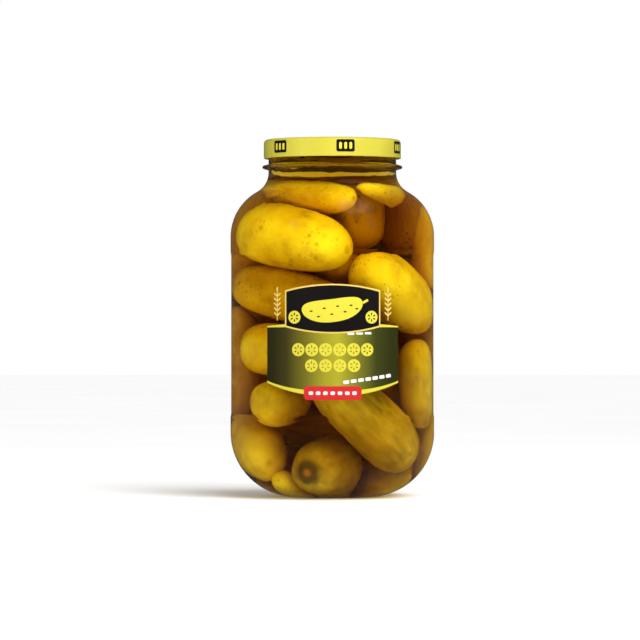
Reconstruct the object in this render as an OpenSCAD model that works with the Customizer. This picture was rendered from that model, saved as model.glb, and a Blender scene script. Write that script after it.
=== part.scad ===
// One-gallon glass jar of whole pickles, closed by a twist-off metal lid.
// Units are millimetres, +Z is up, and the origin is the centre of the base.

/* [Glass body] */
// Largest diameter of the glass
body_d = 155; // [130:1:190]
// Height of the whole jar with its lid on
jar_h = 271.5; // [225:0.5:330]
// Thickness of the side wall
wall = 3.2; // [2.4:0.1:4.5]
// Thickness of the glass at the inside floor, above the table
floor_t = 6; // [5:0.1:8]
// Radius of the large curve from the wall to the base
heel_r = 49; // [40:1:58]
// Radius of the convex shoulder
shoulder_r = 39; // [31:1:47]
// Radius of the concave curve from the shoulder into the neck
neck_fillet_r = 17; // [14:0.5:20.5]
// Width of the flat ring that the jar stands on
foot_w = 5.5; // [4:0.5:8]
// Height of the hollow under the base
push_up = 2.5; // [1.5:0.1:3.5]

/* [Neck] */
// Diameter of the neck outside
neck_d = 97.2; // [80:0.2:117]
// How far the bead ring below the lid stands out from the neck
bead_out = 4.7; // [3.9:0.1:5.7]
// Height of the bead ring where it meets the neck
bead_h = 4.6; // [3.8:0.1:5.6]
// Radius of the bead ring's rounded edge
bead_edge_r = 1.2; // [0.9:0.1:1.5]
// Clear height of neck between the lid's edge and the middle of the bead
bead_drop = 6.5; // [5.4:0.1:7.8]
// Plain neck below the middle of the bead, down to the concave curve
neck_below_bead = 3.8; // [3:0.1:5]
// Chamfer on both edges of the rim
rim_chamfer = 0.8; // [0.5:0.1:1.1]

/* [Lid] */
// Height of the lid
lid_h = 14.4; // [12.5:0.1:17.5]
// Thickness of the lid's metal
lid_t = 0.6; // [0.5:0.05:0.8]
// Radius of the lid's top corner
lid_corner_r = 3; // [2.2:0.1:3.8]
// Gap between the neck and the inside of the lid's skirt
skirt_gap = 3; // [2.6:0.1:3.6]
// Depth of the lid's sunken centre
lid_dip = 1; // [0.7:0.1:1.3]
// Width of plain rim on top of the lid, outside the sunken centre
lid_rim_w = 9; // [8.6:0.1:11]
// Width of the slope into the sunken centre
lid_slope_w = 1.5; // [1:0.1:2]
// Number of lugs on the lid, and of thread ridges on the neck
lug_count = 6; // [4:1:8]
// Angle that each lug and each ridge covers, in degrees
lug_arc = 26; // [18:1:34]
// Height of a thread ridge on the neck
ridge_h = 2.4; // [1.8:0.1:3]
// Clearance around the lugs and the ridges
lug_clearance = 0.3; // [0.2:0.05:0.5]

/* [Contents] */
// Free height above the brine, up to the rim
headspace = 8.9; // [7:0.1:12]

/* [Label] */
// Width of the green field, measured round the glass
field_w = 105.4; // [88:0.2:126]
// Height of the green field at its two ends
field_h = 42.2; // [35:0.2:51]
// Drop of the field's bottom edge from its ends to its middle
field_sag = 10; // [8:0.1:12]
// Rise of the field's top edge from its ends to its middle
field_rise = 2.5; // [2:0.1:3.5]
// Width of the upper part, which carries the dark plaque and two sprigs
crest_w = 98; // [80:0.5:118]
// Height of the upper part above the ends of the green field
crest_h = 32; // [26:0.2:39]
// Rise of the upper part's top edge towards its middle
crest_rise = 3; // [2:0.1:4]
// Width of the small red tag on the bottom edge
tag_w = 43.4; // [36:0.2:52]
// How far the tag hangs below the middle of the field
tag_drop = 2.7; // [2:0.1:3.5]
// Height of the tag
tag_h = 10.2; // [8.5:0.1:12]
// Radius of the tag's corners
tag_corner_r = 3; // [2.4:0.1:3.6]
// Thickness of the label's film
film_t = 0.25; // [0.2:0.05:0.35]
// Depth of the shallow panel in the glass that the label lies in
recess = 0.5; // [0.4:0.05:0.6]
// Panel left bare below the label
margin_below = 11.6; // [9:0.1:14]
// Panel left bare above the label
margin_above = 18.4; // [15:0.1:22]
// Height of the slope at each end of the panel
recess_slope = 3.5; // [2:0.1:5]

/* [Hidden] */
$fn = 96;
over = 1;         // how far a cutting shape runs past what it cuts
label_steps = 32; // straight pieces along each curved label edge

body_r = body_d / 2;
neck_r = neck_d / 2;
bead_r = neck_r + bead_out;

// The lid's underside rests on the glass rim.
rim_z = jar_h - lid_t;
lid_z = jar_h - lid_h;
lid_r = neck_r + skirt_gap + lid_t;
bead_z = lid_z - bead_drop;
brine_z = rim_z - headspace;

// The concave curve touches the neck's side and the shoulder's arc.
fillet_x = neck_r + neck_fillet_r;
fillet_z = bead_z - neck_below_bead;
shoulder_x = body_r - shoulder_r;
shoulder_z = fillet_z - sqrt(pow(shoulder_r + neck_fillet_r, 2) - pow(fillet_x - shoulder_x, 2));

foot_r = body_r - heel_r;
inner_r = body_r - wall;
bore_r = neck_r - wall;
// The inside of the heel is tangent to the inside floor, so the glass thickens downwards.
inner_heel_r = heel_r - floor_t;
push_up_r = (pow(foot_r - foot_w, 2) + pow(push_up, 2)) / (2 * push_up);

// The lugs hook under the ridges of the neck.
lug_z = lid_z + 2 * lid_t;
ridge_z = lug_z + lid_t + lug_clearance;
ridge_r = lid_r - lid_t - lug_clearance;

// The label's panel lies in the middle of the straight wall and fits the label.
label_h = tag_drop + field_sag + field_h + crest_h + crest_rise;
panel_h = margin_below + label_h + margin_above;
panel_z = (heel_r + shoulder_z - panel_h) / 2;
panel_r = body_r - recess;
tag_z = panel_z + margin_below;
field_z = tag_z + tag_drop + field_sag;
crest_z = field_z + field_h;
tag_x = panel_r * sin(tag_w / 2 / panel_r * 180 / PI);

// Part of the plane between two corners.
module box2d(low, high) {
    translate(low) square(high - low);
}

// A disc of the radius r around c, kept only between the corners low and high.
module arc_piece(c, r, low, high) {
    intersection() {
        translate(c) circle(r);
        box2d(low, high);
    }
}

// Half section of a filled jar: its wall is at side_r, its floor at floor_z and its neck at top_r.
module bottle_section(side_r, top_r, floor_z, heel, shoulder, fillet, top_z) {
    heel_x = side_r - heel;
    box2d([0, floor_z], [heel_x, heel_r]);
    arc_piece([heel_x, heel_r], heel, [heel_x, floor_z], [side_r, heel_r]);
    box2d([0, heel_r], [side_r, shoulder_z]);
    box2d([0, shoulder_z], [shoulder_x, shoulder_z + shoulder]);
    arc_piece([shoulder_x, shoulder_z], shoulder, [shoulder_x, shoulder_z],
              [side_r, shoulder_z + shoulder]);
    difference() {
        polygon([[0, shoulder_z], [shoulder_x, shoulder_z], [fillet_x, fillet_z], [0, fillet_z]]);
        translate([fillet_x, fillet_z]) circle(fillet);
    }
    box2d([0, fillet_z], [top_r, top_z]);
}

module outer_section() {
    bottle_section(body_r, neck_r, 0, heel_r, shoulder_r, neck_fillet_r, rim_z);
}

module inner_section(top_z) {
    bottle_section(inner_r, bore_r, floor_t, inner_heel_r, shoulder_r - wall,
                   neck_fillet_r + wall, top_z);
}

// The ring that a capping machine grips, below the lid.
module bead_section() {
    edge_x = bead_r - bead_edge_r;
    polygon([[bore_r + wall / 2, bead_z - bead_h / 2], [neck_r, bead_z - bead_h / 2],
             [edge_x, bead_z - bead_edge_r], [edge_x, bead_z + bead_edge_r],
             [neck_r, bead_z + bead_h / 2], [bore_r + wall / 2, bead_z + bead_h / 2]]);
    translate([edge_x, bead_z]) circle(bead_edge_r);
}

// The shallow panel round the body that keeps the label from rubbing.
module panel_cut() {
    run_out = recess_slope * (recess + over) / recess;
    polygon([[panel_r, panel_z], [body_r + over, panel_z - run_out],
             [body_r + over, panel_z + panel_h + run_out], [panel_r, panel_z + panel_h]]);
}

module push_up_cut() {
    translate([0, push_up - push_up_r]) circle(push_up_r);
}

module rim_chamfers() {
    c = rim_chamfer;
    polygon([[neck_r - c, rim_z], [neck_r, rim_z - c], [neck_r + over, rim_z - c],
             [neck_r + over, rim_z + over], [neck_r - c, rim_z + over]]);
    polygon([[bore_r + c, rim_z], [bore_r, rim_z - c], [bore_r - over, rim_z - c],
             [bore_r - over, rim_z + over], [bore_r + c, rim_z + over]]);
}

// One arc of section, repeated once for each lug, with the first one centred on the front.
module ring_of_arcs(turn) {
    for (i = [0 : lug_count - 1])
        rotate(i * 360 / lug_count - 90 - lug_arc / 2 + turn)
            rotate_extrude(angle = lug_arc) children();
}

// A thread ridge leans on its upper side, as a thread's flank does.
module ridge_section() {
    polygon([[neck_r - wall / 2, ridge_z], [ridge_r, ridge_z], [ridge_r, ridge_z + ridge_h / 2],
             [neck_r, ridge_z + ridge_h], [neck_r - wall / 2, ridge_z + ridge_h]]);
}

module jar() {
    color([0.86, 0.90, 0.86, 0.35]) {
        rotate_extrude() difference() {
            union() {
                outer_section();
                bead_section();
            }
            inner_section(rim_z + over);
            panel_cut();
            push_up_cut();
            rim_chamfers();
        }
        ring_of_arcs(0) ridge_section();
    }
}

// Outside of the lid at an inset of t from its own skin.
module lid_section(t, bottom_z) {
    corner = lid_corner_r - t;
    corner_x = lid_r - lid_corner_r;
    corner_z = jar_h - lid_corner_r;
    box2d([0, bottom_z], [lid_r - t, corner_z]);
    box2d([0, corner_z], [corner_x, jar_h - t]);
    arc_piece([corner_x, corner_z], corner, [corner_x, corner_z], [lid_r - t, jar_h - t]);
}

// The centre of the lid, pressed down inside the rim of the glass.
module lid_centre(t) {
    slope_x = lid_r - lid_rim_w;
    polygon([[0, jar_h - lid_dip - t], [slope_x - lid_slope_w, jar_h - lid_dip - t],
             [slope_x, jar_h - t], [slope_x, jar_h + over], [0, jar_h + over]]);
}

module lid() {
    color([0.93, 0.87, 0.22]) {
        rotate_extrude() {
            difference() {
                lid_section(0, lid_z + lid_t);
                difference() {
                    lid_section(lid_t, lid_z);
                    lid_centre(lid_t);
                }
                lid_centre(0);
            }
            // The rolled lower edge of the skirt.
            translate([lid_r - lid_t, lid_z + lid_t]) circle(lid_t);
        }
        ring_of_arcs(0) box2d([neck_r + lug_clearance, lug_z], [lid_r - lid_t / 2, lug_z + lid_t]);
    }
}

module brine() {
    color([0.55, 0.40, 0.04, 0.8]) rotate_extrude() inner_section(brine_z);
}

// Height of an edge that bows by rise from its ends, at the distance s round the glass.
function bowed(z, rise, half_w, s) = z + rise * (1 - pow(s / half_w, 2));

// Points of a bowed edge from left to right, as seen from the front of the round panel.
function edge_points(z, rise, w) = [
    for (i = [0 : label_steps])
        let (s = w * (i / label_steps - 0.5))
            [panel_r * sin(s / panel_r * 180 / PI), bowed(z, rise, w / 2, s)]
];

function reversed(list) = [for (i = [len(list) - 1 : -1 : 0]) list[i]];

// An outline between two bowed edges of the same width.
module between(low, high) {
    polygon(concat(low, reversed(high)));
}

// The tag has round corners, and is narrow enough to look the same when it is wrapped.
module tag_outline() {
    r = tag_corner_r;
    box2d([r - tag_x, tag_z], [tag_x - r, tag_z + tag_h]);
    box2d([-tag_x, tag_z + r], [tag_x, tag_z + tag_h - r]);
    for (x = [r - tag_x, tag_x - r], z = [tag_z + r, tag_z + tag_h - r])
        translate([x, z]) circle(r);
}

module label_outline() {
    // The crest starts a little below the field's ends, so that the two are one piece.
    crest_foot = field_z + field_h / 2;
    between(edge_points(field_z, -field_sag, field_w), edge_points(crest_z, field_rise, field_w));
    between(edge_points(crest_foot, 0, crest_w), edge_points(crest_z + crest_h, crest_rise, crest_w));
    tag_outline();
}

// The printed film, wrapped on the front of the panel.
module label() {
    color([0.27, 0.33, 0.08]) intersection() {
        rotate([90, 0, 0]) linear_extrude(body_r + over) label_outline();
        rotate_extrude() box2d([panel_r, panel_z], [panel_r + film_t, panel_z + panel_h]);
    }
}

jar();
lid();
brine();
label();
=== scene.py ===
"""Looks of a one-gallon jar of pickles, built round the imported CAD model. Lengths are in metres."""

import math

import bmesh
import bpy
import numpy as np
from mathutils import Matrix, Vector


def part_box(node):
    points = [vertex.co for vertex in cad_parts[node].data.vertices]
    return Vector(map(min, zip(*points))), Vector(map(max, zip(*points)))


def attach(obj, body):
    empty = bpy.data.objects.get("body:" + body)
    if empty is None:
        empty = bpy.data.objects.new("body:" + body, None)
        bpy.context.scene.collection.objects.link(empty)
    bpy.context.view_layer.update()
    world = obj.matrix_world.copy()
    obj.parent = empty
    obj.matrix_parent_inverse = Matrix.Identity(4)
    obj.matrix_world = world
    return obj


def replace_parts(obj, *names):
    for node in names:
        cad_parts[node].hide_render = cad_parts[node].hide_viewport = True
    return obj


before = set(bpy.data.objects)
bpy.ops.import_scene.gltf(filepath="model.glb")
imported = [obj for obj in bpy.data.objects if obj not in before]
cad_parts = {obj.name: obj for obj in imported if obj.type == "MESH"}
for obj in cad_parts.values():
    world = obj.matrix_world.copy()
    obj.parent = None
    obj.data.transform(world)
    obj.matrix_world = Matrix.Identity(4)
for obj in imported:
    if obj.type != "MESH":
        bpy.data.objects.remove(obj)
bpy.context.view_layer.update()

MM = 0.001
BODY = "root"

lid_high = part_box("lid")[1]
brine_low, brine_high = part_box("brine")
label_low, label_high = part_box("label")

scene = bpy.context.scene


# ---------------------------------------------------------------- camera

LENS_MM = 200
SENSOR_MM = 36
CAMERA_DISTANCE = 2.708  # from the jar's axis
CAMERA_HEIGHT = 0.1344
CAMERA_SIDE = -0.0094  # the jar stands a little right of the picture's middle
CAMERA_REACH = 20


def make_camera():
    data = bpy.data.cameras.new("camera")
    data.lens = LENS_MM
    data.sensor_width = SENSOR_MM
    data.clip_end = CAMERA_REACH
    camera = bpy.data.objects.new("camera", data)
    camera.location = (CAMERA_SIDE, -CAMERA_DISTANCE, CAMERA_HEIGHT)
    camera.rotation_euler = (math.pi / 2, 0, 0)
    scene.collection.objects.link(camera)
    scene.camera = camera


# ---------------------------------------------------------------- shader tools

# places of the Mix node's factor, its two colours and its mixed colour
MIX_FACTOR, MIX_A, MIX_B, MIX_RESULT = 0, 6, 7, 2


def srgb(r, g, b):
    """A shader colour from the usual 0 to 255 values."""
    linear = [
        v / 12.92 if v <= 0.04045 else ((v + 0.055) / 1.055) ** 2.4
        for v in (r / 255, g / 255, b / 255)
    ]
    return (*linear, 1.0)


class Shader:
    """A material's node tree, with short ways to add and link nodes."""

    def __init__(self, name):
        self.material = bpy.data.materials.new(name)
        self.material.use_nodes = True
        self.tree = self.material.node_tree
        self.principled = self.tree.nodes["Principled BSDF"]
        self.output = self.tree.nodes["Material Output"]

    def node(self, kind, **settings):
        made = self.tree.nodes.new("ShaderNode" + kind)
        for key, value in settings.items():
            setattr(made, key, value)
        return made

    def link(self, source, target):
        self.tree.links.new(source, target)

    def feed(self, socket, value):
        """Links value to the socket, or sets it there if it is plain."""
        if isinstance(value, bpy.types.NodeSocket):
            self.link(value, socket)
        else:
            socket.default_value = value

    def set(self, **values):
        """Plain values of the Principled BSDF, with _ for each space in a name."""
        for key, value in values.items():
            self.principled.inputs[key.replace("_", " ")].default_value = value

    def position(self):
        """The place on the piece, in metres. Each piece's own frame is the jar's frame."""
        return self.node("TexCoord").outputs["Object"]

    def coordinate(self, axis):
        split = self.node("SeparateXYZ")
        self.link(self.position(), split.inputs[0])
        return split.outputs[axis]

    def noise(self, vector, scale, detail=3.0, roughness=0.5):
        made = self.node("TexNoise")
        made.inputs["Scale"].default_value = scale
        made.inputs["Detail"].default_value = detail
        made.inputs["Roughness"].default_value = roughness
        self.link(vector, made.inputs["Vector"])
        return made.outputs["Fac"]

    def nearest_spot(self, vector, scale):
        """Distance to the nearest of many scattered points."""
        made = self.node("TexVoronoi")
        made.inputs["Scale"].default_value = scale
        self.link(vector, made.inputs["Vector"])
        return made.outputs["Distance"]

    def ramp(self, factor, stops):
        """A colour ramp from (place, colour) stops. A colour may be a plain number."""
        made = self.node("ValToRGB")
        elements = made.color_ramp.elements
        while len(elements) < len(stops):
            elements.new(0.5)
        for element, (place, colour) in zip(elements, stops):
            element.position = place
            element.color = colour if isinstance(colour, tuple) else (colour, colour, colour, 1)
        self.link(factor, made.inputs["Fac"])
        return made.outputs["Color"]

    def mix(self, factor, a, b, blend="MIX"):
        """Mixed colour. a, b and factor are sockets or plain values."""
        made = self.node("Mix", data_type="RGBA", blend_type=blend)
        for index, value in ((MIX_FACTOR, factor), (MIX_A, a), (MIX_B, b)):
            self.feed(made.inputs[index], value)
        return made.outputs[MIX_RESULT]

    def maths(self, operation, *values):
        """The result of a Math node. The values are sockets or plain numbers."""
        made = self.node("Math", operation=operation)
        for socket, value in zip(made.inputs, values):
            self.feed(socket, value)
        return made.outputs[0]

    def bump(self, height, distance, strength=1.0):
        made = self.node("Bump")
        made.inputs["Strength"].default_value = strength
        made.inputs["Distance"].default_value = distance
        self.link(height, made.inputs["Height"])
        self.link(made.outputs["Normal"], self.principled.inputs["Normal"])

    def let_light_through(self, tint):
        """Lamps and soft light reach what is behind this clear surface, as real glass lets them."""
        path = self.node("LightPath")
        clear = self.node("BsdfTransparent")
        clear.inputs["Color"].default_value = tint
        mixed = self.node("MixShader")
        light = self.maths(
            "MAXIMUM", path.outputs["Is Shadow Ray"], path.outputs["Is Diffuse Ray"]
        )
        self.link(light, mixed.inputs[0])
        self.link(self.principled.outputs[0], mixed.inputs[1])
        self.link(clear.outputs[0], mixed.inputs[2])
        self.link(mixed.outputs[0], self.output.inputs["Surface"])


# ---------------------------------------------------------------- materials

WHITE = (1, 1, 1, 1)

GLASS_IOR = 1.5
GLASS_TINT = (0.985, 1.0, 0.985, 1)
GLASS_SHADE = (0.96, 0.97, 0.96, 1)  # what the glass lets through to the things behind it
GLASS_MIRROR = (0.08, 0.08, 0.08, 1)  # weak, so that no pale veil lies over the pickles
SHOULDER_RIPPLE = [(0.76, 0.0), (0.83, 2.0), (0.93, 2.0), (0.96, 0.0)]  # by share of the height
RIPPLE_SCALE, WAVE_SCALE = 60, 22

BRINE_IOR = 1.34
BRINE_COLOUR = (0.865, 0.748, 0.083, 1)
BRINE_DENSITY = 60
BRINE_WAVE_SCALE = 16

FILM_ROUGHNESS = 0.32


def glass_material():
    """Moulded glass: clear, a little wavy, and more so on the shoulder and neck."""
    s = Shader("glass")
    s.set(Base_Color=GLASS_TINT, Roughness=0.0, IOR=GLASS_IOR, Transmission_Weight=1.0)
    s.set(Specular_Tint=GLASS_MIRROR)
    high = s.maths("MULTIPLY", s.coordinate("Z"), 1 / lid_high.z)
    on_shoulder = s.ramp(high, SHOULDER_RIPPLE)
    fine = s.noise(s.position(), RIPPLE_SCALE, 1.0, 0.4)
    ripple = s.mix(1.0, fine, on_shoulder, "MULTIPLY")
    wave = s.mix(1.0, s.noise(s.position(), WAVE_SCALE, 1.0, 0.4), ripple, "ADD")
    s.bump(wave, 0.5 * MM)
    s.let_light_through(GLASS_SHADE)
    return s.material


def brine_material():
    """Amber liquid: it takes its colour from how deep one looks into it."""
    s = Shader("brine")
    s.set(Base_Color=WHITE, Roughness=0.0, IOR=BRINE_IOR, Transmission_Weight=1.0)
    s.set(Specular_Tint=(0, 0, 0, 1))
    wave = s.noise(s.position(), BRINE_WAVE_SCALE, 1.0, 0.4)
    s.bump(wave, 0.3 * MM)
    s.let_light_through(WHITE)
    absorb = s.node("VolumeAbsorption")
    absorb.inputs["Color"].default_value = BRINE_COLOUR
    absorb.inputs["Density"].default_value = BRINE_DENSITY
    s.link(absorb.outputs[0], s.output.inputs["Volume"])
    return s.material


# Skin of a bright pickle and of a dull one. Besides the pickles' own colours, the dull skin is
# painted shade and the bright skin is painted light.
BRIGHT_SKIN = [
    (0.30, srgb(200, 158, 20)),
    (0.52, srgb(236, 202, 28)),
    (0.72, srgb(248, 224, 40)),
]
DULL_SKIN = [
    (0.30, srgb(134, 104, 18)),
    (0.55, srgb(172, 138, 22)),
    (0.75, srgb(198, 164, 30)),
]
STREAK = srgb(250, 222, 60)
SPECKLE = srgb(124, 92, 14)
SCAR = srgb(70, 46, 14)
SCAR_MIDDLE = srgb(176, 104, 36)
SMALL_SPOTS, WIDE_SPOTS = 300, 120  # spots to the metre


def pickle_material():
    """Wet skin: blotches, faint streaks along the pickle, patches of specks, and dark ends. The tone
    mixes a dull skin with a bright one. This is partly the pickles' own colour and partly painted
    shade and light.
    """
    s = Shader("pickle_skin")
    skin = s.node("Attribute", attribute_name="skin").outputs["Vector"]
    tone = s.node("Attribute", attribute_name="tone").outputs["Fac"]
    end = s.node("Attribute", attribute_name="scar").outputs["Fac"]
    stretched = s.node("Mapping")
    stretched.inputs["Scale"].default_value = (1, 1, 0.22)
    s.link(skin, stretched.inputs["Vector"])
    blotches = s.noise(skin, 45, 4.0, 0.55)
    streaks = s.noise(stretched.outputs[0], 210, 3.0, 0.6)
    # the tone paints some pickles darker as shade and others lighter as light, besides their own
    # colour
    colour = s.mix(tone, s.ramp(blotches, DULL_SKIN), s.ramp(blotches, BRIGHT_SKIN))
    colour = s.mix(s.ramp(streaks, [(0.44, 0.0), (0.74, 0.28)]), colour, STREAK)
    small = s.ramp(s.nearest_spot(skin, SMALL_SPOTS), [(0.12, 1.0), (0.26, 0.0)])
    wide = s.ramp(s.nearest_spot(skin, WIDE_SPOTS), [(0.10, 0.9), (0.30, 0.0)])
    patches = s.ramp(s.noise(skin, 38, 2.0), [(0.50, 0.0), (0.60, 0.6)])
    specks = s.mix(1.0, s.mix(1.0, small, wide, "LIGHTEN"), patches, "MULTIPLY")
    colour = s.mix(specks, colour, SPECKLE)
    frayed = s.maths("MULTIPLY", end, s.maths("ADD", s.noise(skin, 130, 3.0), 0.5))
    colour = s.mix(s.ramp(frayed, [(0.05, 0.0), (0.80, 0.9)]), colour, SCAR)
    colour = s.mix(s.ramp(end, [(0.990, 0.0), (0.9995, 0.7)]), colour, SCAR_MIDDLE)
    s.link(colour, s.principled.inputs["Base Color"])
    s.set(Roughness=0.45, IOR=1.4, Specular_IOR_Level=0.03)
    grain = s.mix(0.35, s.noise(skin, 90, 4.0, 0.6), small)
    s.bump(grain, 0.5 * MM, 0.7)
    return s.material


def finish_film(s, colour):
    """Gives a print its colour and the gloss of the film."""
    s.link(colour, s.principled.inputs["Base Color"])
    s.set(Roughness=FILM_ROUGHNESS)
    s.bump(s.noise(s.position(), 300, 2.0), 0.05 * MM)
    return s.material


def ink_material(name, colour, pale):
    """A flat ink, a little uneven."""
    s = Shader(name)
    mottle = s.noise(s.position(), 60, 2.0)
    return finish_film(s, s.mix(mottle, colour, pale))


GREEN_ACROSS = [
    (0.04, srgb(38, 36, 6)),
    (0.15, srgb(58, 54, 9)),
    (0.30, srgb(108, 100, 12)),
    (0.45, srgb(150, 142, 24)),
    (0.54, srgb(160, 154, 30)),
    (0.68, srgb(114, 112, 24)),
    (0.83, srgb(56, 60, 12)),
    (0.95, srgb(42, 44, 8)),
]


def green_material():
    """The label's field: printed dark at its two ends and light in its middle."""
    s = Shader("label_green")
    across = s.maths("MULTIPLY_ADD", s.coordinate("X"), 0.5 / label_high.x, 0.5)
    return finish_film(s, s.ramp(across, GREEN_ACROSS))


LID_COLOURS = [(0.35, srgb(178, 167, 48)), (0.65, srgb(187, 177, 56))]
FLOOR_COLOURS = [(0.3, srgb(250, 250, 250)), (0.7, srgb(253, 253, 253))]


def lid_material():
    """Yellow lacquer on tinplate."""
    s = Shader("lid_paint")
    mottle = s.noise(s.position(), 35, 3.0)
    s.link(s.ramp(mottle, LID_COLOURS), s.principled.inputs["Base Color"])
    s.set(Roughness=0.35, Coat_Weight=0.4, Coat_Roughness=0.12)
    s.bump(s.noise(s.position(), 500, 2.0), 0.02 * MM)
    return s.material


def floor_material():
    s = Shader("floor")
    mottle = s.noise(s.position(), 4, 2.0)
    s.link(s.ramp(mottle, FLOOR_COLOURS), s.principled.inputs["Base Color"])
    s.set(Roughness=0.9)
    return s.material


# ---------------------------------------------------------------- mesh tools


BRINE_CREASE = math.radians(50)
PRINT_CREASE = math.radians(40)


def new_piece(name, mesh, material):
    piece = bpy.data.objects.new(name, mesh)
    scene.collection.objects.link(piece)
    mesh.materials.append(material)
    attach(piece, BODY)
    return piece


def mesh_from(name, points, faces):
    mesh = bpy.data.meshes.new(name)
    mesh.from_pydata([tuple(map(float, p)) for p in points], [], faces)
    mesh.validate()
    mesh.shade_smooth()
    return mesh


def ring_faces(start, rings, segments):
    """Quads between rings of points, each ring after the one before it, from the index start."""
    faces = []
    for i in range(rings - 1):
        for j in range(segments):
            here, there = start + i * segments, start + (i + 1) * segments
            following = (j + 1) % segments
            faces.append((here + j, here + following, there + following, there + j))
    return faces


def cap_faces(centre, ring, segments, upwards):
    """Triangles from a centre point to the ring that starts at the index ring."""
    faces = []
    for j in range(segments):
        a, b = ring + j, ring + (j + 1) % segments
        faces.append((centre, a, b) if upwards else (centre, b, a))
    return faces


def side_profile(node):
    """(radius, height) points up the side of a turned CAD node, from its lowest ring up."""
    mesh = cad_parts[node].data
    points = np.array([v.co for v in mesh.vertices])
    radius = np.hypot(points[:, 0], points[:, 1])
    widest = {}
    for r, z in zip(radius, points[:, 2].round(6)):
        widest[z] = max(widest.get(z, 0), r)
    return [(widest[z], z) for z in sorted(widest)]


def grown(profile, reach):
    """The profile moved outwards by reach, square to itself."""
    points = np.array(profile)
    along = np.gradient(points, axis=0)
    along /= np.linalg.norm(along, axis=1)[:, None]
    outwards = np.stack([along[:, 1], -along[:, 0]], axis=1)
    return points + outwards * reach


def turned(name, profile, segments):
    """A closed solid of revolution from a profile that doesn't touch the axis."""
    rings = len(profile)
    angles = np.arange(segments) * 2 * math.pi / segments
    points = [(r * math.cos(a), r * math.sin(a), z) for r, z in profile for a in angles]
    bottom, top = len(points), len(points) + 1
    points += [(0, 0, profile[0][1]), (0, 0, profile[-1][1])]
    faces = ring_faces(0, rings, segments)
    faces += cap_faces(bottom, 0, segments, upwards=False)
    faces += cap_faces(top, (rings - 1) * segments, segments, upwards=True)
    mesh = mesh_from(name, points, faces)
    mesh.set_sharp_from_angle(angle=BRINE_CREASE)
    return mesh


# ---------------------------------------------------------------- brine

WALL_REACH = 0.3 * MM  # how far the brine reaches into the glass, so that no air gap shows
BRINE_SEGMENTS = 160


def make_brine(material):
    profile = grown(side_profile("brine"), WALL_REACH)
    profile[-1][1] = brine_high.z
    mesh = turned("brine_liquid", profile, BRINE_SEGMENTS)
    brine = new_piece("brine_liquid", mesh, material)
    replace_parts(brine, "brine")


# ---------------------------------------------------------------- pickles

THINNEST = 0.92  # how far a pickle may be pressed thinner, as a share of its radius
SIDE_POWER, END_POWER = 3.0, 2.1  # how full a pickle stays along its side and at its ends
BALL_PLACES = [-0.78, -0.52, -0.26, 0, 0.26, 0.52, 0.78]  # the balls that stand for a pickle
STEM_REACH = 0.10  # share of the half length that the dark stem end takes
BLOSSOM_REACH, BLOSSOM_DEPTH = 0.008, 0.28


class Pickle:
    """One pickle: a bent, slightly lumpy capsule.

    azimuth counts in degrees from the front towards the right, and out is how far its middle is
    from the jar's axis. With no swing it lies along the wall, and lean tips its right end up.
    Lengths are in millimetres. The tone goes from dull to bright. It is partly each pickle's own
    colour and partly painted shade and light: pickles low down and at the back are painted darker,
    and some that lie in other pickles' or the shoulder's shade are painted lighter. stem is how dark
    one end is.
    """

    def __init__(self, azimuth, out, height, lean, swing, length, width, tone, stem):
        a, e, w = math.radians(azimuth), math.radians(lean), math.radians(swing)
        tangent = np.array([math.cos(a), math.sin(a), 0])
        inwards = np.array([-math.sin(a), math.cos(a), 0])
        self.centre = np.array([out * math.sin(a), -out * math.cos(a), height]) * MM
        flat = math.cos(w) * tangent + math.sin(w) * inwards
        self.axis = math.cos(e) * flat + math.sin(e) * np.array([0, 0, 1.0])
        self.length, self.radius = length * MM, width / 2 * MM
        self.least_radius = self.radius * THINNEST
        self.tone, self.stem = tone, stem

    def radius_at(self, t):
        """Radius at the share t of the way along, from -1 to 1."""
        return self.radius * (1 - abs(t) ** SIDE_POWER) ** (1 / END_POWER)

    def scar_at(self, t):
        """How dark the skin is near the stem end at -1 and the small blossom end at 1."""
        reach, depth = (STEM_REACH, self.stem) if t < 0 else (BLOSSOM_REACH, BLOSSOM_DEPTH)
        return depth * math.exp(-(((1 - abs(t)) / reach) ** 2))

    def balls(self):
        """Centres and radii of a row of balls that fill the pickle."""
        steps = np.array(BALL_PLACES)
        centres = self.centre + np.outer(steps * self.length / 2, self.axis)
        return centres, np.array([self.radius_at(t) for t in steps])


# azimuth, distance out, height, lean, swing, length, width, tone (partly painted shade and light),
# stem
FRONT_ROW = [
    (-38, 42, 193, -8, 0, 92, 45, 1.0, 0.2),
    (61, 45, 155, -32, 0, 86, 48, 1.0, 0.1),
    (-49, 30, 151, -14, 0, 104, 42, 1.0, 0.2),
    (-55, 44, 112, -3, 6, 58, 40, 0.9, 0.1),
    (-55, 42, 72, 3, 112, 50, 37, 0.8, 0.1),
    (-84, 46, 41, -20, 0, 62, 37, 1.0, 0.1),
    (-10, 25, 29, 11, 74, 66, 38, -0.5, 1.0),
    (29, 44, 63, -41, 5, 101, 45, 0.0, 0.1),
    (80, 56, 86, -82, 0, 68, 34, 0.5, 0.1),
    (105, 58, 184, 84, 0, 52, 28, 1.0, 0.1),
    (64, 35, 223, -14, 0, 54, 20, 0.8, 0.1),
    (138, 16, 204, 5, 142, 60, 37, 1.0, 0.0),
    (-42, 24, 222, -2, 0, 80, 26, 1.0, 0.1),
    (165, 28, 54, 6, 0, 84, 34, 0.2, 0.2),
    (142, 52, 203, 86, 0, 40, 22, 0.3, 0.1),
    (-60, 31, 18, 0, 120, 46, 21, 1.0, 0.1),
    (104, 58, 42, -75, 0, 42, 25, 0.6, 0.1),
]
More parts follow.
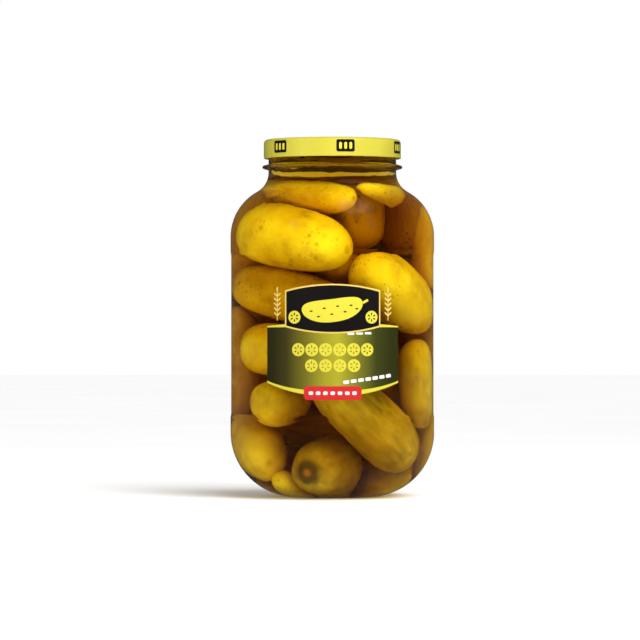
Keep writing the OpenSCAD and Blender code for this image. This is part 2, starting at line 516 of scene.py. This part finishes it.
BACK_ROW = [
    (-98, 50, 110, 84, 0, 92, 38, 0.7, 0.2),
    (-118, 42, 36, 20, 0, 74, 34, 0.5, 0.2),
    (-140, 48, 175, -60, 0, 92, 40, 0.7, 0.4),
    (-150, 47, 95, 70, 0, 96, 40, 0.8, 0.2),
    (165, 54, 82, -65, 0, 86, 36, 0.7, 0.2),
    (-178, 48, 145, 65, 0, 90, 38, 0.9, 0.4),
    (140, 50, 160, 70, 0, 90, 38, 0.6, 0.2),
    (116, 50, 88, -80, 0, 88, 38, 0.7, 0.3),
    (135, 36, 26, 5, 0, 70, 34, 0.4, 0.2),
    (-105, 6, 112, 58, 0, 84, 37, 0.5, 0.2),
    (172, 34, 226, 2, 0, 62, 26, 0.5, 0.1),
    (60, 6, 165, 20, 0, 70, 32, 0.3, 0.1),
]


class Cavity:
    """The room inside the jar for a ball of a given radius."""

    def __init__(self, profile):
        self.profile = np.array(profile)

    def limit(self, z, radius):
        """How far out from the jar's axis a ball's centre may be at the height z."""
        rise = self.profile[:, 1] - z
        near = np.abs(rise) < radius
        if not near.any():
            return self.profile[:, 0].max() - radius
        return (self.profile[near, 0] - np.sqrt(radius**2 - rise[near] ** 2)).min()


def fine_profile(profile, step):
    """The same profile with a point at least every step of height."""
    points = np.array(profile)
    heights = np.arange(points[0, 1], points[-1, 1], step)
    return np.stack([np.interp(heights, points[:, 1], points[:, 0]), heights], axis=1)


SETTLE_STEPS = 400
SETTLE_SHARE = 0.35  # share of an overlap that one step takes away on each side
SLIM_STEPS = 6
SLIM_SHARE = 0.3
CLEARANCE = 0.4 * MM
FRONT_GIVE, BACK_GIVE = 0.0, 1.0  # the pickles that show in front stay, and the others give way
TOP_ROOM = 24 * MM  # how far below the brine's surface the back pickles keep


def settle(pickles, give, cavity, low, high):
    """Pushes overlapping pickles apart, and all of them inside the glass, a little at a time."""
    for _ in range(SETTLE_STEPS):
        balls = [p.balls() for p in pickles]
        moves = [np.zeros((len(b[1]), 3)) for b in balls]
        for i in range(len(pickles)):
            for j in range(i + 1, len(pickles)):
                gap = balls[i][0][:, None, :] - balls[j][0][None, :, :]
                distance = np.linalg.norm(gap, axis=2) + 1e-9
                overlap = balls[i][1][:, None] + balls[j][1][None, :] + CLEARANCE - distance
                push = np.where(overlap > 0, overlap, 0)[:, :, None] * gap / distance[:, :, None]
                moves[i] += push.sum(axis=1) * SETTLE_SHARE
                moves[j] -= push.sum(axis=0) * SETTLE_SHARE
        for (centres, radii), move in zip(balls, moves):
            for k, (c, r) in enumerate(zip(centres, radii)):
                lift = max(0, low + r - c[2]) - max(0, c[2] + r - high)
                out = math.hypot(c[0], c[1])
                over = out - cavity.limit(min(max(c[2], low + r), high - r), r)
                if over > 0:
                    move[k, :2] -= c[:2] / out * over
                move[k, 2] += lift
        for p, share, (centres, radii), move in zip(pickles, give, balls, moves):
            move = move * share
            arms = centres - p.centre
            p.centre = p.centre + move.mean(axis=0)
            spin = np.cross(arms, move).sum(axis=0) / (arms**2).sum()
            p.axis = p.axis + np.cross(spin, p.axis)
            p.axis = p.axis / np.linalg.norm(p.axis)


def slim(pickles):
    """Thins pickles that still overlap a little, as soft ones press each other flat."""
    for _ in range(SLIM_STEPS):
        for i, p in enumerate(pickles):
            centres, radii = p.balls()
            for other in pickles[i + 1 :]:
                others, other_radii = other.balls()
                distance = np.linalg.norm(centres[:, None] - others[None], axis=2)
                overlap = (radii[:, None] + other_radii[None] + CLEARANCE - distance).max()
                if overlap > 0:
                    p.radius = max(p.radius - overlap * SLIM_SHARE, p.least_radius)
                    other.radius = max(other.radius - overlap * SLIM_SHARE, other.least_radius)
                    radii = p.balls()[1]


PICKLE_RINGS = 62
PICKLE_SEGMENTS = 56
BUMPS, BUMP_HEIGHT = 26, 0.011
LOBE_HEIGHT, SMALL_LOBE_HEIGHT, TWIST_HEIGHT = 0.018, 0.012, 0.012  # shares of the radius
END_SHARE = 0.985  # how far out the end points lie, so that the ends are blunt


def pickle_points(p, rng):
    """Points, skin places and scars of one pickle's surface."""
    side = np.cross(p.axis, [0.3, 0.2, 1.0])
    side /= np.linalg.norm(side)
    third = np.cross(p.axis, side)
    bend = rng.uniform(-0.05, 0.05) * p.length
    lobes, turn = rng.uniform(0, 2 * math.pi, 3), rng.uniform(0, 2 * math.pi)
    waist = rng.uniform(-0.06, 0.06)
    offset = rng.uniform(-1, 1, 3)
    bumps = rng.uniform(-1, 1, (BUMPS, 2))
    points, places, scars = [], [], []
    angles = np.arange(PICKLE_SEGMENTS) * 2 * math.pi / PICKLE_SEGMENTS
    for i in range(1, PICKLE_RINGS):
        t = -math.cos(math.pi * i / PICKLE_RINGS)
        r = p.radius_at(t) * (1 + waist * t)
        fade = 1 - t**4
        wobble = LOBE_HEIGHT * np.cos(3 * angles + lobes[0])
        wobble += SMALL_LOBE_HEIGHT * np.cos(5 * angles + lobes[1])
        wobble += TWIST_HEIGHT * np.sin(4 * t + lobes[2]) * np.cos(2 * angles + turn)
        for along, around in bumps:
            reach = ((t - along * 0.85) / 0.09) ** 2
            if reach < 6:
                away = (angles - around * math.pi + math.pi) % (2 * math.pi) - math.pi
                wobble += BUMP_HEIGHT * np.exp(-reach - (away / 0.22) ** 2)
        ring = r * (1 + wobble * fade)
        across, up = ring * np.cos(angles), ring * np.sin(angles)
        mid = p.centre + p.axis * t * p.length / 2 + side * bend * (1 - t * t - 0.5)
        points += list(mid + np.outer(across, side) + np.outer(up, third))
        places += list(np.stack([across, up, np.full_like(ring, t * p.length / 2)], 1) + offset)
        scars += [p.scar_at(t)] * PICKLE_SEGMENTS
    for t in (-1, 1):
        points.append(p.centre + p.axis * t * p.length / 2 * END_SHARE - side * bend * 0.5)
        places.append(np.array([0, 0, t * p.length / 2]) + offset)
        scars.append(p.scar_at(t))
    return points, places, scars


def pickle_faces(start):
    """Faces of one pickle whose points begin at the index start."""
    rings = PICKLE_RINGS - 1
    first = start + rings * PICKLE_SEGMENTS
    last_ring = first - PICKLE_SEGMENTS
    faces = ring_faces(start, rings, PICKLE_SEGMENTS)
    faces += cap_faces(first, start, PICKLE_SEGMENTS, upwards=False)
    faces += cap_faces(first + 1, last_ring, PICKLE_SEGMENTS, upwards=True)
    return faces


def add_attribute(mesh, name, kind, key, values):
    mesh.attributes.new(name, kind, "POINT").data.foreach_set(key, values)


def make_pickles(material):
    cavity = Cavity(fine_profile(side_profile("brine"), 1 * MM))
    pickles = [Pickle(*row) for row in FRONT_ROW + BACK_ROW]
    give = [FRONT_GIVE] * len(FRONT_ROW) + [BACK_GIVE] * len(BACK_ROW)
    settle(pickles, give, cavity, brine_low.z, brine_high.z - TOP_ROOM)
    slim(pickles)
    rng = np.random.default_rng(7)
    points, faces, places, tones, scars = [], [], [], [], []
    for p in pickles:
        own_points, own_places, own_scars = pickle_points(p, rng)
        faces += pickle_faces(len(points))
        points += own_points
        places += own_places
        scars += own_scars
        # each pickle's tone, partly painted shade and light
        tones += [p.tone] * len(own_points)
    mesh = mesh_from("pickles", points, faces)
    add_attribute(mesh, "skin", "FLOAT_VECTOR", "vector", np.ravel(places))
    add_attribute(mesh, "tone", "FLOAT", "value", tones)
    add_attribute(mesh, "scar", "FLOAT", "value", scars)
    new_piece("pickles", mesh, material)


# ---------------------------------------------------------------- print on the label and the lid

WRAP_STEP = 2 * MM  # a slab has an edge at least this often, so that it bends smoothly


def wrapped_slabs(name, outlines, surface_r, bottom, top, material):
    """Wraps flat outlines of (distance round, height) on a cylinder, as thin closed slabs."""
    bm = bmesh.new()
    for outline in outlines:
        bm.faces.new([bm.verts.new((s, 0, z)) for s, z in outline])
    low = min(v.co.x for v in bm.verts)
    high = max(v.co.x for v in bm.verts)
    for k in range(1, int((high - low) / WRAP_STEP) + 1):
        geometry = bm.verts[:] + bm.edges[:] + bm.faces[:]
        place = (low + k * WRAP_STEP, 0, 0)
        bmesh.ops.bisect_plane(bm, geom=geometry, plane_co=place, plane_no=(1, 0, 0))
    bmesh.ops.triangulate(bm, faces=bm.faces[:])
    underside = bmesh.ops.extrude_face_region(bm, geom=bm.faces[:])
    for item in underside["geom"]:
        if isinstance(item, bmesh.types.BMVert):
            item.co.y = 1
    for v in bm.verts:
        angle = v.co.x / surface_r
        radius = surface_r + (bottom if v.co.y > 0.5 else top)
        v.co = Vector((radius * math.sin(angle), -radius * math.cos(angle), v.co.z))
    bmesh.ops.recalc_face_normals(bm, faces=bm.faces[:])
    mesh = bpy.data.meshes.new(name)
    bm.to_mesh(mesh)
    bm.free()
    mesh.shade_smooth()
    mesh.set_sharp_from_angle(angle=PRINT_CREASE)
    return new_piece(name, mesh, material)


def bowed(half_width, ends, middle, steps=40):
    """Points of an edge that bows from the height ends to the height middle, left to right."""
    return [
        (half_width * u, ends + (middle - ends) * (1 - u * u))
        for u in (2 * i / steps - 1 for i in range(steps + 1))
    ]


def between(lower, upper):
    """The closed outline between two edges that both run from left to right."""
    return lower + upper[::-1]


def in_metres(outline):
    return [(s * MM, z * MM) for s, z in outline]


def moved(outline, s, z):
    return [(x + s, y + z) for x, y in outline]


def oval(width, height, steps=24):
    turns = [2 * math.pi * i / steps for i in range(steps)]
    return [(width / 2 * math.cos(a), height / 2 * math.sin(a)) for a in turns]


def round_box(width, height, radius, steps=6):
    outline = []
    for quarter, (x, y) in enumerate(((1, -1), (1, 1), (-1, 1), (-1, -1))):
        corner = x * (width / 2 - radius), y * (height / 2 - radius)
        for i in range(steps + 1):
            a = math.pi / 2 * (quarter - 1 + i / steps)
            point = corner[0] + radius * math.cos(a), corner[1] + radius * math.sin(a)
            outline.append(point)
    return outline


FILM = 0.25 * MM  # the CAD label stands this far out of the panel
PANEL_R = -label_low.y - FILM

# The underside and top of each kind of print, in mm above the panel. A print's underside lies
# just under the top of what it is printed on.
LAYERS = {
    "field": (-0.02, 0.08),
    "plaque": (-0.02, 0.12),
    "stripe": (-0.02, 0.14),
    "black": (0.06, 0.16),
    "motif": (0.05, 0.20),
    "seed": (0.15, 0.235),
}

# The label's print, in mm round the jar from the label's middle and in mm of height
FIELD_HALF = 52.7
FIELD_LOW, FIELD_SAG = 87.75, 10
FIELD_HIGH, FIELD_RISE = 129.95, 2.5
FIELD_STEPS = 41
UPPER_STRIPE_END, LOWER_STRIPE_END = 36.6, 21.0
PLAQUE_HALF, PLAQUE_EDGE = 36.7, 1.1
PLAQUE_LOW_ENDS, PLAQUE_LOW_MIDDLE = 129.2, 124.4
PLAQUE_HIGH_ENDS, PLAQUE_HIGH_MIDDLE = 156.4, 161.2
SPRIG_PLACE, SPRIG_LEAF_ANGLE = 43.4, 48
GHERKIN_HEIGHT, GHERKIN_TILT = 141.4, 7
WARTS = [(-16, 1.5), (-11, -3.2), (-6, 2.4), (-1, -2.6), (4, 2.8), (9, -2), (14, 2.2), (18, -0.8)]
TAG_HEIGHT = 80.2

# Rows of cucumber slices: their places round the jar, height and radius
CREST_SLICES = [-29, 29.5], 136.5, 4.8
ROW_ONE = [-26.0, -15.6, -5.2, 5.2, 15.6, 26.0], 112.4, 4.9
ROW_TWO = [-15.9, -5.3, 5.3, 15.9], 100.6, 4.8


def lower_edge(s):
    return FIELD_LOW - FIELD_SAG * (1 - (s / FIELD_HALF) ** 2)


def upper_edge(s):
    return FIELD_HIGH + FIELD_RISE * (1 - (s / FIELD_HALF) ** 2)


def strip(start, end, edge, thick_start, thick_end, steps=16):
    """A band along an edge curve, whose thickness changes from its start to its end."""
    share = [i / steps for i in range(steps + 1)]
    places = [start + (end - start) * u for u in share]
    near = [(s, edge(s)) for s in places]
    far = [
        (s, edge(s) + thick_start + (thick_end - thick_start) * u) for s, u in zip(places, share)
    ]
    outline = near + far[::-1]
    return outline if (end > start) == (thick_start > 0) else outline[::-1]


def turned_outline(outline, degrees):
    c, s = math.cos(math.radians(degrees)), math.sin(math.radians(degrees))
    return [(x * c - y * s, x * s + y * c) for x, y in outline]


def plaque_outline(inset):
    """A plain plaque whose top and bottom edges bow upwards and downwards."""
    half = PLAQUE_HALF - inset
    lower = bowed(half, PLAQUE_LOW_ENDS + inset, PLAQUE_LOW_MIDDLE + inset)
    upper = bowed(half, PLAQUE_HIGH_ENDS - inset, PLAQUE_HIGH_MIDDLE - inset)
    return between(lower, upper)


def gherkin_outline(length, width, bend, steps=40):
    """A cucumber's outline, lying along the first axis and bent a little."""
    spine = [-math.cos(math.pi * i / steps) for i in range(steps + 1)]
    half = [width / 2 * (1 - abs(t) ** 2.6) ** (1 / 2.2) for t in spine]
    lower = [(length / 2 * t, bend * t * t - h) for t, h in zip(spine, half)]
    upper = [(length / 2 * t, bend * t * t + h) for t, h in zip(spine, half)]
    return lower + upper[-2:0:-1]


def sprig(side):
    """A dill sprig: a thin stem with pairs of narrow leaves."""
    place = side * SPRIG_PLACE
    outlines = [moved(round_box(0.7, 22, 0.3), place, 145)]
    for k in range(5):
        for turn in (-1, 1):
            leaf = moved(oval(4.0, 1.15, 14), 2.1, 0)
            leaf = turned_outline(leaf, 90 - turn * SPRIG_LEAF_ANGLE)
            outlines.append(moved(leaf, place, 137.5 + 3.6 * k))
    outlines.append(moved(oval(1.3, 4.2, 14), place, 157))
    return outlines


def slices(places, height, radius):
    return [moved(oval(2 * radius, 2 * radius, 28), s, height) for s in places]


def seeds(places, height, radius):
    outlines = []
    for s in places:
        for k in range(6):
            seed = moved(oval(radius * 0.42, radius * 0.2, 10), radius * 0.5, 0)
            outlines.append(moved(turned_outline(seed, 60 * k + 30), s, height))
    return outlines


def on_gherkin(outline):
    """Puts what was drawn on a level gherkin in its place on the plaque."""
    return moved(turned_outline(outline, GHERKIN_TILT), 0, GHERKIN_HEIGHT)


def make_label(inks):
    """The printed film. Each ink lies a little higher than the one below it."""

    def layer(name, outlines, height, ink):
        outlines = [in_metres(outline) for outline in outlines]
        bottom, top = (level * MM for level in LAYERS[height])
        return wrapped_slabs(name, outlines, PANEL_R, bottom, top, inks[ink])

    across = np.linspace(-FIELD_HALF, FIELD_HALF, FIELD_STEPS)
    field = between([(s, lower_edge(s)) for s in across], [(s, upper_edge(s)) for s in across])
    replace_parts(layer("label_field", [field], "field", "green"), "label")
    stripes = []
    for side in (-1, 1):
        end = side * FIELD_HALF
        stripes.append(strip(end, side * UPPER_STRIPE_END, upper_edge, -1.1, -2.2))
        stripes.append(strip(end, side * LOWER_STRIPE_END, lower_edge, 1.4, 3.4))
    layer("label_stripes", stripes, "stripe", "yellow")
    layer("label_plaque_edge", [plaque_outline(0)], "plaque", "gold")
    layer("label_plaque", [plaque_outline(PLAQUE_EDGE)], "black", "black")
    gherkin = on_gherkin(gherkin_outline(46, 17, 3.0))
    stalk = moved(turned_outline(round_box(5, 1.8, 0.8), 28), 24.6, 148.2)
    layer("label_crest", [gherkin, stalk] + slices(*CREST_SLICES), "motif", "yellow")
    warts = [on_gherkin(moved(oval(2.4, 1.1, 12), *place)) for place in WARTS]
    layer("label_warts", warts + seeds(*CREST_SLICES), "seed", "black")
    layer("label_sprigs", sprig(-1) + sprig(1), "plaque", "gold")
    layer("label_slices", slices(*ROW_ONE) + slices(*ROW_TWO), "motif", "yellow")
    layer("label_seeds", seeds(*ROW_ONE) + seeds(*ROW_TWO), "seed", "green")
    low_dash = turned_outline(round_box(4.4, 2.6, 0.7), 7)
    high_dash = round_box(5.2, 1.7, 0.6)
    dashes = [moved(low_dash, 10 + 5.6 * k, 88.4 + 0.75 * k) for k in range(7)]
    dashes += [moved(high_dash, 13.5 + 6.6 * k, 124.2 + 0.2 * k) for k in range(3)]
    layer("label_dashes", dashes, "motif", "white")
    layer("label_tag", [moved(round_box(43.4, 10.2, 3), 0, TAG_HEIGHT)], "black", "red")
    tag_dash = round_box(3.4, 2.6, 0.9)
    tag_dashes = [moved(tag_dash, -16.2 + 5.4 * k, TAG_HEIGHT) for k in range(7)]
    layer("label_tag_dashes", tag_dashes, "seed", "white")


MARK_TURN = 10.8  # degrees from the front to the nearest mark
MARK_DROP = 6.6 * MM  # from the lid's top to the middle of the marks
BAR_STEP = 3.9 * MM


def make_lid_marks(inks):
    """Six plain dark panels printed round the lid's skirt."""
    skirt_r = lid_high.x
    middle = lid_high.z - MARK_DROP
    turns = [math.radians(MARK_TURN + 60 * k) * skirt_r for k in range(-3, 3)]
    panel = in_metres(round_box(14, 9.2, 1.4))
    bar = in_metres(round_box(2.1, 5.2, 1.0))
    panels = [moved(panel, turn, middle) for turn in turns]
    bars = [moved(bar, turn + BAR_STEP * k, middle) for turn in turns for k in (-1, 0, 1)]
    black, yellow = inks["black"], inks["yellow"]
    wrapped_slabs("lid_marks", panels, skirt_r, -0.05 * MM, 0.04 * MM, black)
    wrapped_slabs("lid_mark_bars", bars, skirt_r, -0.02 * MM, 0.08 * MM, yellow)


# ---------------------------------------------------------------- light and floor

# How bright the world looks to light that is scattered, and to what the glass mirrors, next to
# the white that the camera sees
WORLD_SCATTERED, WORLD_MIRRORED = 0.40, 0.06
SUN_POWER, SUN_SPREAD = 2.45, math.radians(40)
SUN_DIRECTION = (-0.42, 0.45, -1.1)
NECK_LAMP_POWER, NECK_LAMP_CONE, NECK_LAMP_BLEND = 15, math.radians(13), 0.9
NECK_LAMP_RADIUS = 0.06
NECK_LAMP_PLACE = (0.05, -0.9, 0.07)
NECK_LAMP_DIRECTION = (-0.05, 0.87, 0.18)
JAR_MIDDLE = (0, 0, 0.17)
JAR_FOOT = (-0.03, 0, 0.05)
FLOOR_HALF = 6.0


def add_lamp(data, location, direction):
    lamp = bpy.data.objects.new(data.name, data)
    lamp.location = location
    lamp.rotation_euler = Vector(direction).to_track_quat("-Z", "Y").to_euler()
    lamp.visible_glossy = False
    scene.collection.objects.link(lamp)
    return lamp


def area_light(name, location, target, size, power, mirrored=False):
    """A soft box that faces target. Only a mirrored one shows in the glass."""
    data = bpy.data.lights.new(name, "AREA")
    data.shape = "RECTANGLE"
    data.size, data.size_y = size
    data.energy = power
    lamp = add_lamp(data, location, Vector(target) - Vector(location))
    lamp.visible_glossy = lamp.visible_transmission = mirrored
    lamp.visible_camera = False
    return lamp


def make_world():
    """White to look at, and dim in what the glass mirrors, as in a room with dark walls."""
    world = bpy.data.worlds.new("studio")
    world.use_nodes = True
    tree = world.node_tree
    background = tree.nodes["Background"]
    background.inputs["Color"].default_value = WHITE
    path = tree.nodes.new("ShaderNodeLightPath")
    strength = None
    for ray, seen in (("Is Diffuse Ray", WORLD_SCATTERED), ("Is Glossy Ray", WORLD_MIRRORED)):
        scale = tree.nodes.new("ShaderNodeMath")
        scale.operation = "MULTIPLY_ADD"
        tree.links.new(path.outputs[ray], scale.inputs[0])
        scale.inputs[1].default_value = seen - 1.0
        scale.inputs[2].default_value = 1.0
        if strength:
            tree.links.new(strength, scale.inputs[2])
        strength = scale.outputs[0]
    tree.links.new(strength, background.inputs["Strength"])
    scene.world = world


def make_light():
    make_world()
    sun = bpy.data.lights.new("sun", "SUN")
    sun.energy = SUN_POWER
    sun.angle = SUN_SPREAD
    add_lamp(sun, (0, 0, 0), SUN_DIRECTION)
    area_light("right_box", (0.42, -0.62, 0.66), JAR_MIDDLE, (0.3, 0.3), 2.8)
    area_light("left_box", (-0.55, -0.66, 0.55), JAR_MIDDLE, (0.3, 0.3), 1.7)
    area_light("low_box", (-0.3, -0.8, 0.05), JAR_FOOT, (0.3, 0.1), 0.75)
    neck_lamp = bpy.data.lights.new("neck_lamp", "SPOT")
    neck_lamp.energy = NECK_LAMP_POWER
    neck_lamp.spot_size = NECK_LAMP_CONE
    neck_lamp.spot_blend = NECK_LAMP_BLEND
    neck_lamp.shadow_soft_size = NECK_LAMP_RADIUS
    add_lamp(neck_lamp, NECK_LAMP_PLACE, NECK_LAMP_DIRECTION)
    for side in (-1, 1):
        place = (side * 0.6, -0.62, 0.5)
        card = area_light("card", place, JAR_MIDDLE, (0.22, 0.22), 0.26, mirrored=True)
        card.visible_diffuse = False


def make_floor(material):
    h = FLOOR_HALF
    points = [(-h, -h, 0), (h, -h, 0), (h, h, 0), (-h, h, 0)]
    mesh = mesh_from("floor", points, [(0, 1, 2, 3)])
    mesh.materials.append(material)
    floor = bpy.data.objects.new("floor", mesh)
    scene.collection.objects.link(floor)
    floor.visible_glossy = False


# ---------------------------------------------------------------- the whole


# Each ink, and the paler ink that it is mottled with
INKS = {
    "black": (srgb(14, 10, 12), srgb(24, 18, 18)),
    "yellow": (srgb(200, 190, 48), srgb(210, 200, 58)),
    "gold": (srgb(206, 176, 84), srgb(220, 194, 104)),
    "red": (srgb(190, 26, 30), srgb(204, 36, 38)),
    "white": (srgb(214, 214, 204), srgb(224, 224, 214)),
}


def paint_node(node, material):
    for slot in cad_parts[node].material_slots:
        slot.material = material


def main():
    scene.view_settings.view_transform = "Standard"
    scene.cycles.transparent_max_bounces = 32
    scene.cycles.transmission_bounces = 16
    scene.cycles.max_bounces = 16
    make_camera()
    paint_node("jar", glass_material())
    paint_node("lid", lid_material())
    make_brine(brine_material())
    make_pickles(pickle_material())
    inks = {"green": green_material()}
    for ink, (colour, pale) in INKS.items():
        inks[ink] = ink_material("label_" + ink, colour, pale)
    make_label(inks)
    make_lid_marks(inks)
    make_light()
    make_floor(floor_material())


main()
